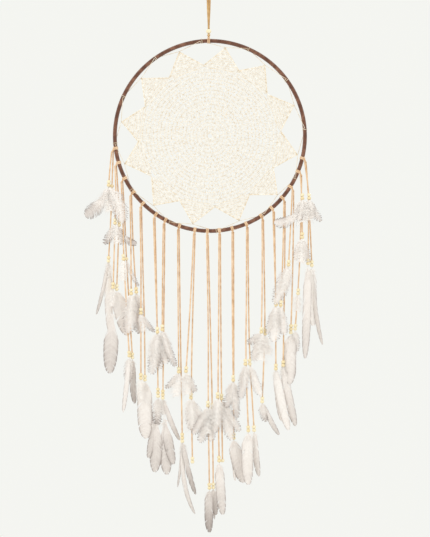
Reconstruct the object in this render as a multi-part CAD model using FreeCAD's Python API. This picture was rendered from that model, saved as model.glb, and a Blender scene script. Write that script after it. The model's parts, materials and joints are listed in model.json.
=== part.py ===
import FreeCAD, Part
import math
import os

from FreeCAD import Vector

# Dream catcher: a lace-wrapped hoop with a crocheted star laced inside it, hung by a doubled
# suede lace, and nineteen doubled laces with beads and feathers knotted round its lower half.
# Millimetres, +Z up, the front faces -Y. The origin is the inside top of the hanging loop,
# where a nail or hook carries it.

# ---- Driving dimensions ----
HOOP_DIAMETER = 400.0
HOOP_TUBE = 8.5
CORE_WIRE = 5.0
WRAP_SEAM = 0.8
HOOP_DROP = 304.0
HOOP_SIDE = 2.5

LACE = 3.0
DEPTHS = (-3.2, 3.2)
TOP_DEPTH = 0.6
TAIL_SPREAD = 1.5
TAIL_OUT = 6.6
TAIL_DOWN = 8.2

BEAD_WIDTH = 8.2
BEAD_HEIGHT = 7.0
BEAD_BORE = 3.4
BEAD_GAP = 0.1

LOOP_BEAD_WIDTH = 10.5
LOOP_BEAD_HEIGHT = 9.5
LOOP_BEAD_BORE = 4.0
LOOP_BEAD_DROP = 88.5
LOOP_HALF_WIDTH = 4.0
LOOP_NECK_HALF_WIDTH = 1.6
LOOP_WIDEST_DROP = 34.0
LOOP_LEAN_IN = 0.3
LOOP_NECK_LENGTH = 8.0
LOOP_NECK_CLEARANCE = 0.1
STOPPER_KNOT = 6.8
STOPPER_GAP = 0.2

DOILY_TIP_RADIUS = 184.0
DOILY_VALLEY_RADIUS = 146.0
DOILY_THICKNESS = 1.2
DOILY_TIPS = (10, 38, 70, 102, 131, 161, 191, 219, 252, 279, 310, 340)
THREAD = 1.0
KNOT = 1.3

QUILL = 0.8
FEATHER_THICKNESS = 0.8
QUILL_SPACING = 1.1
QUILL_SIDE_STEP = 2.6
QUILL_GRIP = 2.0
ROOT_DROP = 1.0
WIDEST_SHARE = 0.55
PITCHES = (-5.5, 5.5)

HITCH_GAUGE = 1.5
HITCH_HALF_WIDTH = 1.65
HITCH_BAR_STEP = 0.3
WOUND_GAP = 0.05
THREAD_GAP = 0.4
# The share of a run that the arc at each of its ends may take.
ARC_SHARE = 0.45

# ---- Values that follow ----
HOOP_RADIUS = HOOP_DIAMETER / 2 - HOOP_TUBE / 2
HOOP_CENTRE = Vector(HOOP_SIDE, 0, -HOOP_DROP)
TUBE_RADIUS = HOOP_TUBE / 2
UP = Vector(0, 0, 1)
ACROSS = Vector(0, 1, 0)
LEFT_HAND = -1

# Depths and pitches come in pairs: a strand's front tail, then its back tail.
# Each strand: the hitch's angle round the hoop from straight down, positive to the left, then
# its front and its back tail. A tail is a list of points (x, drop below the hoop's centre,
# beads threaded there); its last point is inside its last stack of beads. At a point with no
# beads, the two tails keep TAIL_SPREAD either side of x.
STRANDS = (
    (82.5, ((-204, 60, 0), (-208, 98, 2)), ((-202, 103, 1), (-206, 180, 0), (-209, 254, 2))),
    (73.6, ((-192, 110, 0), (-195, 176, 2), (-199, 308, 2)),
     ((-189, 120, 0), (-187, 180, 2), (-192, 312, 2))),
    (63.5, ((-179, 160, 0), (-178, 250, 2), (-166, 449, 2)),
     ((-175, 170, 0), (-172.5, 253, 1), (-160, 453, 2))),
    (53.6, ((-164, 210, 0), (-162, 321, 2)), ((-159, 220, 0), (-152, 318, 2))),
    (44.7, ((-142, 240, 0), (-142, 361, 2), (-142, 495, 2)),
     ((-138, 260, 0), (-136, 380, 0), (-134, 499, 2))),
    (34.5, ((-111, 280, 0), (-108, 400, 2)), ((-110, 330, 0), (-107, 529, 3))),
    (27.8, ((-96, 270, 0), (-98, 395, 2)), ((-96, 350, 0), (-97, 533, 3))),
    (18.7, ((-66, 330, 0), (-64, 482, 2)), ((-62, 380, 0), (-57, 622, 3))),
    (9.1, ((-40, 330, 0), (-49, 481, 2)), ((-34, 350, 0), (-39, 536, 2), (-36, 668, 2))),
    (1.5, ((-3, 380, 0), (-4, 552, 2), (-1, 721, 2)), ((1, 400, 0), (5, 557, 2), (7, 721, 2))),
    (-5.7, ((18, 370, 0), (16, 534, 2), (19, 665, 2)), ((23, 380, 0), (24, 538, 2), (26, 669, 1))),
    (-13.5, ((47, 340, 0), (48, 499, 2)), ((48, 400, 0), (49, 619, 2))),
    (-22.4, ((75, 320, 0), (73, 466, 2), (79, 603, 2)), ((80, 330, 0), (82, 466, 2), (91, 603, 2))),
    (-32.6, ((109, 280, 0), (106, 400, 2)), ((112, 290, 0), (114, 404, 2), (108, 544, 2))),
    (-40.5, ((134, 240, 0), (136, 344, 2)), ((134, 300, 0), (136, 476, 2))),
    (-49.4, ((151, 230, 0), (146, 345, 2)), ((153, 290, 0), (151, 469, 2))),
    (-57.7, ((168, 180, 0), (162, 262, 2)), ((171, 250, 0), (167, 398, 3))),
    (-68.0, ((190, 125, 2), (190, 205, 2)), ((186, 200, 0), (182, 321, 2), (176, 394, 2))),
    (-76.4, ((201, 85, 0), (204, 125, 2), (202, 259, 2)), ((204, 150, 0), (210, 263, 2))),
)
# Feathers tucked under a stack of beads, by strand: (tail, point of the tail, then length,
# width and lean in degrees from plumb, positive to the right, of each feather).
FEATHERS = {
    1: ((0, 1, ((75, 20, -38), (66, 9, 4))), (1, 2, ((112, 7, -13), (150, 12, 0)))),
    2: ((0, 1, ((45, 9, -4),)), (0, 2, ((173, 22, -2),)), (1, 2, ((95, 14, 6),))),
    3: ((0, 1, ((41, 10, 0),)), (0, 2, ((114, 10, -6),)), (1, 2, ((95, 10, 3),))),
    5: ((0, 1, ((45, 9, 30),)), (1, 2, ((118, 26, 1),))),
    6: ((0, 1, ((80, 20, -8),)), (1, 1, ((165, 18, -3),))),
    8: ((0, 1, ((45, 12, -12),)), (1, 1, ((112, 8, 13), (150, 9, 6)))),
    9: ((0, 1, ((40, 12, 20),)), (1, 1, ((62, 14, 4),))),
    10: ((0, 1, ((70, 16, -12),)), (0, 2, ((86, 12, -1),)), (1, 2, ((55, 10, 6),))),
    11: ((0, 1, ((75, 18, 8),)), (0, 2, ((105, 16, 4),))),
    12: ((0, 1, ((50, 10, -14), (70, 10, 6))), (1, 1, ((90, 18, 13),))),
    13: ((0, 1, ((60, 12, -8),)), (0, 2, ((106, 16, -2),)), (1, 2, ((92, 10, 6),))),
    15: ((0, 1, ((72, 12, -6),)), (1, 1, ((122, 12, 12),))),
    17: ((0, 1, ((76, 10, 1),)), (1, 1, ((100, 18, -2),))),
    18: ((0, 0, ((44, 10, -4),)), (0, 1, ((56, 14, 0),)), (1, 1, ((38, 9, 2),))),
    19: ((0, 1, ((50, 10, 26),)), (0, 2, ((190, 14, -2),)), (1, 1, ((122, 16, 2), (160, 8, 8)))),
}


def on_hoop(angle, radius):
    """The point at an angle from straight down, positive to the left, in the hoop's plane."""
    a = math.radians(angle)
    return HOOP_CENTRE + Vector(LEFT_HAND * radius * math.sin(a), 0, -radius * math.cos(a))


def from_top(clockwise):
    """The same place named the other way: clockwise from the top to angle from straight down."""
    return clockwise - 180


def save(name, *solids):
    shape = solids[0] if len(solids) == 1 else Part.makeCompound(list(solids))
    shape.exportStep("parts/" + name + ".step")


def rod(start, end, width):
    return Part.makeCylinder(width / 2, start.distanceToPoint(end), start, end - start)


def cord(points, width, name):
    """A tube along straight runs joined by arcs, each arc as large as its two runs allow."""
    edges = []
    here = points[0]
    radii = []
    for before, corner, after in zip(points, points[1:], points[2:]):
        into = (corner - before).normalize()
        out = (after - corner).normalize()
        turn = into.getAngle(out)
        reach = ARC_SHARE * min(corner.distanceToPoint(before), after.distanceToPoint(corner))
        radius = reach / math.tan(turn / 2)
        radii.append(radius)
        start = corner - into * reach
        end = corner + out * reach
        bisector = (out - into).normalize()
        middle = corner + bisector * (radius / math.cos(turn / 2) - radius)
        edges.append(Part.LineSegment(here, start).toShape())
        edges.append(Part.Arc(start, middle, end).toShape())
        here = end
    edges.append(Part.LineSegment(here, points[-1]).toShape())
    path = Part.Wire(edges)
    section = Part.Wire([Part.makeCircle(width / 2, points[0], points[1] - points[0])])
    tube = path.makePipeShell([section], True, False)
    expected = math.pi * width**2 / 4 * path.Length
    smallest = min(radii) if radii else 0
    print(f"{name}: length {path.Length:.0f}, smallest radius {smallest:.0f},"
          f" volume / section x length {tube.Volume / expected:.3f}")
    return tube


def bead(centre, width, height, bore):
    """A turned bead: a ball with flat ends and a bore along Z."""
    flat = math.sqrt((width / 2) ** 2 - (height / 2) ** 2)
    side = Part.Arc(Vector(flat, 0, -height / 2), Vector(width / 2, 0, 0),
                    Vector(flat, 0, height / 2))
    section = Part.Wire([
        Part.LineSegment(Vector(bore / 2, 0, -height / 2), Vector(flat, 0, -height / 2)).toShape(),
        side.toShape(),
        Part.LineSegment(Vector(flat, 0, height / 2), Vector(bore / 2, 0, height / 2)).toShape(),
        Part.LineSegment(Vector(bore / 2, 0, height / 2),
                         Vector(bore / 2, 0, -height / 2)).toShape(),
    ])
    turned = Part.Face(section).revolve(Vector(0, 0, 0), UP, 360)
    if turned.Volume < 0:
        turned.reverse()
    turned.translate(centre)
    return turned


def bead_stack(centre, flow, count):
    """Beads one under another, centred on one point of a tail and threaded along it."""
    stack = []
    for i in range(count):
        one = bead(Vector(0, 0, 0), BEAD_WIDTH, BEAD_HEIGHT - BEAD_GAP, BEAD_BORE)
        one.Placement = FreeCAD.Placement(
            centre + flow * ((i - (count - 1) / 2) * BEAD_HEIGHT),
            FreeCAD.Rotation(Vector(0, 0, -1), flow),
        )
        stack.append(one)
    return stack


def blade(root, length, width, lean, pitch, quill_length):
    """One feather: a flat leaf outline on a square quill. It leans in the hoop's plane by
    lean degrees and stands away from that plane by pitch degrees, positive to the back."""
    half = QUILL / 2
    right = Part.Arc(Vector(half, 0, 0), Vector(width / 2, 0, -length * WIDEST_SHARE),
                     Vector(half, 0, -length))
    left = Part.Arc(Vector(-half, 0, -length), Vector(-width / 2, 0, -length * WIDEST_SHARE),
                    Vector(-half, 0, 0))
    outline = Part.Wire([
        right.toShape(),
        Part.LineSegment(Vector(half, 0, -length), Vector(-half, 0, -length)).toShape(),
        left.toShape(),
        Part.LineSegment(Vector(-half, 0, 0), Vector(half, 0, 0)).toShape(),
    ])
    leaf = Part.Face(outline).extrude(ACROSS * FEATHER_THICKNESS)
    leaf.translate(ACROSS * (-FEATHER_THICKNESS / 2))
    leaf.rotate(Vector(0, 0, 0), Vector(1, 0, 0), pitch)
    leaf.rotate(Vector(0, 0, 0), ACROSS, -lean)
    leaf.translate(root)
    quill = Part.makeBox(QUILL, FEATHER_THICKNESS, quill_length,
                         root - Vector(half, FEATHER_THICKNESS / 2, ROOT_DROP))
    return leaf.fuse(quill).removeSplitter()


def tail_points(angle, tail, side):
    """A tail's route in space: below its hitch, then through its own points."""
    depth = DEPTHS[side]
    aside = TAIL_SPREAD * (-1, 1)[side]
    outward = LEFT_HAND * TAIL_OUT * math.sin(math.radians(angle))
    top = on_hoop(angle, HOOP_RADIUS) + Vector(outward, 0, -TAIL_DOWN)
    points = [top + Vector(aside, TOP_DEPTH * depth, 0)]
    for x, drop, beads in tail:
        across = x if beads else x + aside
        points.append(HOOP_CENTRE + Vector(across, depth, -drop))
    return points


def flow_at(points, i):
    """The lace's direction at a point of its route: the mean of its runs in and out."""
    into = (points[i] - points[i - 1]).normalize()
    if i + 1 == len(points):
        return into
    return (into + (points[i + 1] - points[i]).normalize()).normalize()


def strand(number, angle, tails):
    """A strand's lace tails, its beads and its feathers, each as a group of solids."""
    name = f"strand_{number:02d}"
    laces = []
    beads = []
    feathers = []
    groups = {(side, index): group for side, index, group in FEATHERS.get(number, ())}
    for side, tail in enumerate(tails):
        points = tail_points(angle, tail, side)
        for index, (x, drop, count) in enumerate(tail):
            flow = flow_at(points, index + 1)
            beads += bead_stack(points[index + 1], flow, count)
            end = flow * (count / 2 * BEAD_HEIGHT)
            root = points[index + 1] + end - UP * ROOT_DROP
            at_end = index + 1 == len(tail)
            group = groups.get((side, index), ())
            for i, (length, width, lean) in enumerate(group):
                if at_end:
                    # The quill goes up the last bead's bore, as far as the end of the lace.
                    shift = (i - (len(group) - 1) / 2) * QUILL_SPACING
                    quill = QUILL_GRIP + BEAD_HEIGHT / 2
                    pitch = PITCHES[side]
                else:
                    # The quill is held against the bottom of the stack, in front of the lace.
                    shift = -QUILL_SIDE_STEP - i * QUILL_SPACING
                    quill = QUILL_GRIP
                    pitch = PITCHES[0]
                feathers.append(blade(root + ACROSS * shift, length, width, lean, pitch, quill))
        last_flow = flow_at(points, len(tail))
        points[-1] = points[-1] + last_flow * ((tail[-1][2] - 1) / 2 * BEAD_HEIGHT)
        laces.append(cord(points, LACE, f"{name} tail {side}"))
    save(name + "_lace", *laces)
    save(name + "_beads", *beads)
    if feathers:
        save(name + "_feathers", *feathers)


def hitch(angle):
    """A lark's-head knot: two turns of lace round the hoop and the bar that crosses them."""
    centre = on_hoop(angle, HOOP_RADIUS)
    a = math.radians(angle)
    along = Vector(-math.cos(a), 0, math.sin(a))
    turn_radius = TUBE_RADIUS + HITCH_GAUGE / 2 + WOUND_GAP
    turns = []
    for step in (-1, 1):
        middle = centre + along * (step * HITCH_HALF_WIDTH)
        turns.append(Part.makeTorus(turn_radius, HITCH_GAUGE / 2, middle, along))
    bar_middle = centre - ACROSS * (turn_radius + HITCH_BAR_STEP)
    bar = rod(bar_middle - along * HITCH_HALF_WIDTH, bar_middle + along * HITCH_HALF_WIDTH,
              HITCH_GAUGE)
    return turns[0].fuse([turns[1], bar])


def hoop():
    """A steel ring, and the suede wrap round it with its glued seam facing inward."""
    core = Part.makeTorus(HOOP_RADIUS, CORE_WIRE / 2, HOOP_CENTRE, ACROSS)
    seam = math.asin(WRAP_SEAM / CORE_WIRE)
    middle = HOOP_CENTRE + Vector(HOOP_RADIUS, 0, 0)

    def at(radius, angle):
        return middle + Vector(radius * math.cos(angle), radius * math.sin(angle), 0)

    inner = CORE_WIRE / 2
    first = math.pi - seam
    last = seam - math.pi
    section = Part.Wire([
        Part.Arc(at(TUBE_RADIUS, first), at(TUBE_RADIUS, 0), at(TUBE_RADIUS, last)).toShape(),
        Part.LineSegment(at(TUBE_RADIUS, last), at(inner, last)).toShape(),
        Part.Arc(at(inner, last), at(inner, 0), at(inner, first)).toShape(),
        Part.LineSegment(at(inner, first), at(TUBE_RADIUS, first)).toShape(),
    ])
    wrap = Part.Face(section).revolve(HOOP_CENTRE, ACROSS, 360)
    if wrap.Volume < 0:
        wrap.reverse()
    save("ring_core", core)
    save("ring_wrap", wrap)


def halfway(first, second):
    return first + ((second - first) % 360) / 2


def doily():
    """The crocheted star as a flat plate, with the zigzag thread that laces it to the hoop."""
    following = DOILY_TIPS[1:] + DOILY_TIPS[:1]
    outline = []
    for tip, after in zip(DOILY_TIPS, following):
        outline.append(on_hoop(from_top(tip), DOILY_TIP_RADIUS))
        outline.append(on_hoop(from_top(halfway(tip, after)), DOILY_VALLEY_RADIUS))
    face = Part.Face(Part.makePolygon(outline + outline[:1]))
    plate = face.extrude(ACROSS * DOILY_THICKNESS)
    plate.translate(ACROSS * (-DOILY_THICKNESS / 2))
    save("lace_doily", plate)

    turn_radius = TUBE_RADIUS + THREAD / 2 + WOUND_GAP
    inner = HOOP_RADIUS - turn_radius
    pieces = []
    for tip, after in zip(DOILY_TIPS, following):
        tip_point = on_hoop(from_top(tip), DOILY_TIP_RADIUS + THREAD / 2 + THREAD_GAP)
        next_tip = on_hoop(from_top(after), DOILY_TIP_RADIUS + THREAD / 2 + THREAD_GAP)
        middle = from_top(halfway(tip, after))
        turn = Part.makeTorus(turn_radius, THREAD / 2, on_hoop(middle, HOOP_RADIUS),
                              Vector(-math.cos(math.radians(middle)), 0,
                                     math.sin(math.radians(middle))))
        at_hoop = on_hoop(middle, inner)
        pieces += [
            turn,
            rod(tip_point, at_hoop, THREAD),
            rod(at_hoop, next_tip, THREAD),
            Part.makeSphere(KNOT / 2, tip_point),
            Part.makeSphere(KNOT / 2, at_hoop),
        ]
    save("lashing_thread", pieces[0].fuse(pieces[1:]))


def hanging_loop():
    """The doubled lace over the nail, its bead, and the stopper knot under the bead."""
    bead_top = -LOOP_BEAD_DROP + LOOP_BEAD_HEIGHT / 2
    crown = LACE / 2 - LOOP_HALF_WIDTH
    left = [
        Vector(-LOOP_HALF_WIDTH, 0, crown),
        Vector(-LOOP_HALF_WIDTH + LOOP_LEAN_IN, 0, -LOOP_WIDEST_DROP),
        Vector(-LOOP_NECK_HALF_WIDTH, 0, bead_top + LOOP_NECK_LENGTH),
        Vector(-LOOP_NECK_HALF_WIDTH, 0, bead_top),
    ]
    right = [Vector(-p.x, p.y, p.z) for p in left]
    legs = [cord(left, LACE, "loop left leg"), cord(right, LACE, "loop right leg")]
    over = Part.Wire([Part.Arc(left[0], Vector(0, 0, LACE / 2), right[0]).toShape()])
    section = Part.Wire([Part.makeCircle(LACE / 2, left[0], UP)])
    arch = over.makePipeShell([section], True, False)
    loop = legs[0].fuse([legs[1], arch])

    bead_centre = Vector(0, 0, -LOOP_BEAD_DROP)
    neck_bottom = -LOOP_BEAD_DROP - LOOP_BEAD_HEIGHT / 2
    neck = Part.makeCylinder(LOOP_BEAD_BORE / 2 - LOOP_NECK_CLEARANCE, LOOP_BEAD_HEIGHT,
                             Vector(0, 0, neck_bottom))
    knot = Part.makeSphere(STOPPER_KNOT / 2,
                           Vector(0, 0, neck_bottom - STOPPER_KNOT / 2 + STOPPER_GAP))
    save("hanging_loop", loop.fuse([neck, knot]))
    save("hanging_bead", bead(bead_centre, LOOP_BEAD_WIDTH, LOOP_BEAD_HEIGHT - 2 * BEAD_GAP,
                              LOOP_BEAD_BORE))


os.makedirs("parts", exist_ok=True)
hanging_loop()
hoop()
doily()
hitch_angles = [angle for angle, front, back in STRANDS]
loop_hitch_angle = 180 - math.degrees(math.asin(HOOP_SIDE / HOOP_RADIUS))
save("lark_head_hitches", *[hitch(angle) for angle in [loop_hitch_angle] + hitch_angles])
for number, (angle, front, back) in enumerate(STRANDS, 1):
    strand(number, angle, (front, back))
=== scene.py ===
import json
import math
import random
from collections import namedtuple

import bpy
from mathutils import Matrix, Vector


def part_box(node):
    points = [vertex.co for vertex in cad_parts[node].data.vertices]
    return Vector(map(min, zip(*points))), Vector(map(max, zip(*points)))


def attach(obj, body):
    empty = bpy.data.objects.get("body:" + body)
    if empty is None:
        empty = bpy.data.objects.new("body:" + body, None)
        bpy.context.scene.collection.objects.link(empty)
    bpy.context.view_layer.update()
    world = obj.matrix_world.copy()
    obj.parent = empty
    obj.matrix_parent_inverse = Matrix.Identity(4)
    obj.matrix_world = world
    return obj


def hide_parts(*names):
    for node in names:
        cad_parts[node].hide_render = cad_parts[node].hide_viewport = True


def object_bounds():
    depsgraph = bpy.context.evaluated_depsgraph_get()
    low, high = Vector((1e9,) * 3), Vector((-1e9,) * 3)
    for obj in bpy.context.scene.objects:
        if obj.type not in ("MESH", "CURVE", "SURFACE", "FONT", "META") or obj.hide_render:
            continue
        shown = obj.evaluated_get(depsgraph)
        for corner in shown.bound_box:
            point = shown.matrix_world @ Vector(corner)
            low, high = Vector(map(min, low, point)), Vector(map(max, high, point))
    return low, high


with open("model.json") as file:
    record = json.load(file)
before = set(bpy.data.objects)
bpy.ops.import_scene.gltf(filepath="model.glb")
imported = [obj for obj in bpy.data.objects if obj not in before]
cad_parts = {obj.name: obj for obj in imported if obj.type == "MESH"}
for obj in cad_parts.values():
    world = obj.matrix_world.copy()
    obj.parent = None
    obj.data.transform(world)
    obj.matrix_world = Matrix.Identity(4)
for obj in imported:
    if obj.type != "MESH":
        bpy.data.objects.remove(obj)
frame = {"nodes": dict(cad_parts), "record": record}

cad_low, cad_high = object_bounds()

# ---- The frame's own sizes, in metres ----
ring_low, ring_high = (Vector(corner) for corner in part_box("ring_wrap"))
HOOP_CENTRE = (ring_low + ring_high) / 2
HOOP_TUBE = ring_high.y - ring_low.y
HOOP_RADIUS = (ring_high.x - ring_low.x) / 2 - HOOP_TUBE / 2
bead_low, bead_high = (Vector(corner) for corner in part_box("hanging_bead"))
LOOP_BEAD_CENTRE = (bead_low + bead_high) / 2

# ---- Sizes the record doesn't give, in metres ----
LACE = 0.003
LACE_THICKNESS = 0.0013
DEPTHS = (-0.0032, 0.0032)  # where the front and the back tails hang
TOP_DEPTH = 0.6  # a tail's depth under its hitch, as a share of the above
TAIL_SPREAD = 0.0015
TAIL_OUT = 0.0066  # a tail's start from the hitch: away from the centre, and down
TAIL_DOWN = 0.0082
BEAD_WIDTH = 0.0082
BEAD_HEIGHT = 0.0070
BEAD_BORE = 0.0034

DOILY_TIPS = (10, 38, 70, 102, 131, 161, 191, 219, 252, 279, 310, 340)
DOILY_TIP_RADIUS = 0.184
DOILY_VALLEY_RADIUS = 0.146

# Each strand: the hitch's angle round the hoop from straight down, positive to the left, then
# its front and its back tail. A tail is a list of points (x, drop below the hoop's centre,
# beads threaded there), in millimetres. At a point with no beads, the two tails keep
# TAIL_SPREAD either side of x.
STRANDS = (
    (82.5, ((-204, 60, 0), (-208, 98, 2)), ((-202, 103, 1), (-206, 180, 0), (-209, 254, 2))),
    (73.6, ((-191, 110, 0), (-195, 176, 2), (-199, 308, 2)),
     ((-190, 120, 0), (-187, 180, 2), (-192, 312, 2))),
    (63.5, ((-176.5, 175, 0), (-178, 250, 2), (-166, 449, 2)),
     ((-176.5, 175, 0), (-172.5, 253, 1), (-160, 453, 2))),
    (53.6, ((-160.5, 235, 0), (-162, 321, 2)), ((-160.5, 235, 0), (-152, 318, 2))),
    (44.7, ((-140, 270, 0), (-142, 361, 2), (-142, 495, 2)),
     ((-140, 270, 0), (-136, 380, 0), (-134, 499, 2))),
    (34.5, ((-110.5, 300, 0), (-108, 400, 2)), ((-110.5, 340, 0), (-107, 529, 3))),
    (27.8, ((-96, 270, 0), (-98, 395, 2)), ((-96, 350, 0), (-97, 533, 3))),
    (18.7, ((-64, 350, 0), (-64, 482, 2)), ((-63, 390, 0), (-57, 622, 3))),
    (9.1, ((-38, 350, 0), (-49, 481, 2)), ((-37, 360, 0), (-39, 536, 2), (-36, 668, 2))),
    (1.5, ((-1, 400, 0), (-4, 552, 2), (-1, 721, 2)), ((0, 410, 0), (5, 557, 2), (7, 721, 2))),
    (-5.7, ((20, 390, 0), (16, 534, 2), (19, 665, 2)), ((21, 400, 0), (24, 538, 2), (26, 669, 1))),
    (-13.5, ((47, 340, 0), (48, 499, 2)), ((48, 400, 0), (49, 619, 2))),
    (-22.4, ((77, 340, 0), (73, 466, 2), (79, 603, 2)),
     ((78, 345, 0), (82, 466, 2), (91, 603, 2))),
    (-32.6, ((110, 300, 0), (106, 400, 2)), ((111, 305, 0), (114, 404, 2), (108, 544, 2))),
    (-40.5, ((134, 240, 0), (136, 344, 2)), ((134, 300, 0), (136, 476, 2))),
    (-49.4, ((153, 240, 0), (146, 345, 2)), ((153, 290, 0), (151, 469, 2))),
    (-57.7, ((168, 180, 0), (162, 262, 2)), ((171, 250, 0), (167, 398, 3))),
    (-68.0, ((190, 125, 2), (190, 205, 2)), ((186, 200, 0), (182, 321, 2), (176, 394, 2))),
    (-76.4, ((201, 85, 0), (204, 125, 2), (202, 259, 2)), ((204, 150, 0), (210, 263, 2))),
)

# Feathers under a stack of beads, by strand: (tail, point of the tail, feathers ...). A feather
# is (kind, length and width in millimetres, lean of its tip from its root in degrees to the
# right, sideways curl in degrees, tone from 0, white, to 1, dark grey). A wing is close-vaned,
# a half has a vane only on its lower half, a plume is loose, a paddle is widest near its tip
# and down is all fluff.
FEATHERS = {
    1: ((0, 1, ("paddle", 80, 32, -38, -45, .55), ("plume", 84, 30, 21, -30, .26),
        ("down", 58, 40, 4, 10, .05)), (1, 2, ("wing", 112, 8, -13, -8, .5),
        ("wing", 150, 17, 1, 3, .22), ("down", 35, 20, 0, 5, .1))),
    2: ((0, 1, ("plume", 47, 18, -29, -30, .6), ("down", 45, 30, 8, 10, .12)),
        (1, 1, ("paddle", 55, 16, 45, 70, .6), ("plume", 40, 16, 12, 10, .35)),
        (0, 2, ("half", 175, 33, -2, -3, .5), ("down", 40, 24, -4, 5, .1)),
        (1, 2, ("wing", 97, 31, 14, 5, .22))),
    3: ((0, 1, ("down", 46, 26, 0, 8, .03)), (1, 1, ("plume", 62, 9, 26, 20, .6)),
        (0, 2, ("wing", 114, 11, -6, -4, .3), ("plume", 50, 20, -3, 5, .3)),
        (1, 2, ("wing", 95, 15, 2, 6, .65))),
    4: ((0, 1, ("plume", 80, 30, -4, -10, .28), ("down", 55, 36, -6, 10, .1)),
        (1, 1, ("plume", 85, 24, 4, 10, .45), ("down", 50, 28, 8, 8, .25))),
    5: ((0, 1, ("plume", 47, 12, 38, 20, .6), ("down", 40, 24, 10, -10, .2)),
        (0, 2, ("down", 45, 26, 0, 5, .12)), (1, 2, ("wing", 120, 34, 1, 3, .3),
        ("wing", 100, 14, 9, 5, .25))),
    6: ((0, 1, ("plume", 86, 26, -8, -12, .32), ("down", 62, 40, -8, 8, .15),
        ("plume", 75, 22, 3, 6, .28)), (1, 1, ("half", 160, 30, -3, -4, .45),
        ("plume", 58, 22, 0, 6, .6), ("half", 130, 18, -9, -10, .5))),
    7: ((0, 1, ("plume", 80, 18, 21, 15, .48), ("down", 66, 34, 12, 10, .12),
        ("plume", 70, 22, 6, -8, .25)), (1, 1, ("half", 160, 30, 3, 4, .42),
        ("half", 138, 22, 9, 8, .5), ("wing", 93, 11, 22, 8, .5), ("down", 35, 22, 4, 4, .2))),
    8: ((0, 1, ("plume", 42, 12, -42, -25, .5), ("down", 54, 34, -6, 10, .15)),
        (1, 1, ("wing", 112, 12, 14, 8, .72), ("wing", 155, 10, 9, 28, .4),
        ("wing", 95, 6, -6, -6, .5), ("down", 34, 22, 6, 4, .15))),
    9: ((0, 1, ("down", 50, 34, 4, -10, .15), ("plume", 46, 18, 28, 25, .38)),
        (1, 1, ("down", 68, 42, 2, 12, .1), ("plume", 68, 28, 6, 8, .22),
        ("plume", 55, 16, 32, 10, .32))),
    10: ((0, 1, ("plume", 75, 24, -12, -12, .32), ("plume", 64, 20, -30, -14, .36),
        ("down", 60, 44, 0, 8, .12)), (1, 1, ("plume", 66, 24, -2, 8, .25),
        ("down", 50, 36, 8, 6, .1)), (0, 2, ("wing", 88, 19, 0, 3, .8)),
        (1, 2, ("wing", 55, 15, 6, 4, .65), ("wing", 64, 6, 2, 4, .5))),
    11: ((0, 1, ("down", 62, 42, -4, 8, .1), ("plume", 70, 24, -6, -8, .2)),
        (1, 1, ("plume", 86, 24, 15, 10, .25), ("plume", 75, 20, 30, 14, .34)),
        (0, 2, ("wing", 108, 22, 4, 4, .45))),
    12: ((0, 1, ("plume", 55, 22, -16, -20, .4), ("plume", 76, 20, 6, 10, .45),
        ("down", 46, 34, -2, 6, .2)), (1, 1, ("wing", 94, 28, 13, 5, .4),
        ("wing", 88, 8, 2, 4, .2))),
    13: ((0, 1, ("plume", 70, 20, -8, -8, .35), ("down", 50, 30, -2, 6, .3)),
        (1, 1, ("plume", 68, 20, 20, 12, .15)), (0, 2, ("wing", 108, 27, 0, 3, .3),
        ("wing", 85, 12, -5, -6, .42)), (1, 2, ("wing", 95, 14, 6, 6, .35))),
    14: ((0, 1, ("down", 62, 42, -2, 8, .12), ("plume", 36, 16, -55, -25, .5),
        ("plume", 60, 22, -16, -10, .3)), (1, 1, ("down", 45, 34, 6, 6, .15)),
        (1, 2, ("plume", 40, 18, 12, 10, .55), ("wing", 76, 12, 28, 10, .5))),
    15: ((0, 1, ("plume", 75, 26, -4, -8, .16), ("plume", 62, 18, -18, -14, .34),
        ("down", 50, 30, -6, 6, .06)), (1, 1, ("wing", 128, 20, 12, 5, .16),
        ("wing", 110, 14, 7, 4, .26), ("down", 34, 20, 2, 4, .1))),
    16: ((0, 1, ("plume", 60, 20, 8, 10, .25), ("down", 40, 26, -4, 6, .15)),
        (1, 1, ("wing", 128, 19, 12, 4, .42), ("down", 35, 22, 4, 4, .12))),
    17: ((0, 1, ("plume", 84, 28, -19, -8, .25), ("down", 55, 36, -12, 8, .08)),
        (1, 1, ("wing", 104, 30, -1, 3, .33), ("plume", 92, 20, -8, -6, .45),
        ("wing", 90, 18, 5, 5, .3))),
    18: ((0, 0, ("paddle", 86, 24, -50, -95, .36), ("down", 52, 46, 0, 8, .06),
        ("plume", 45, 20, -12, -20, .2)), (0, 1, ("down", 56, 36, -3, 8, .06),
        ("plume", 52, 18, 15, 14, .35), ("plume", 47, 18, -18, -12, .22)),
        (1, 1, ("down", 40, 26, -4, 6, .2)), (1, 2, ("plume", 46, 18, 4, 8, .3))),
    19: ((0, 1, ("plume", 52, 16, 28, 25, .4), ("down", 48, 38, -4, 8, .07),
        ("plume", 40, 18, 8, -10, .2)), (0, 2, ("wing", 194, 19, -2, -2, .4)),
        (1, 1, ("wing", 124, 24, 2, 3, .1), ("wing", 165, 10, 8, 12, .34))),
}


# ---- Shared helpers ----
def add_mesh(name, parts, body, material):
    """A new piece out of (verts, faces) parts, with its own material, riding on a body."""
    verts, faces = [], []
    for part_verts, part_faces in parts:
        start = len(verts)
        verts += [tuple(v) for v in part_verts]
        faces += [tuple(i + start for i in face) for face in part_faces]
    mesh = bpy.data.meshes.new(name)
    mesh.from_pydata(verts, [], faces)
    mesh.update()
    mesh.polygons.foreach_set("use_smooth", [True] * len(mesh.polygons))
    piece = bpy.data.objects.new(name, mesh)
    bpy.context.scene.collection.objects.link(piece)
    piece.data.materials.append(material)
    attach(piece, body)
    return piece


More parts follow.
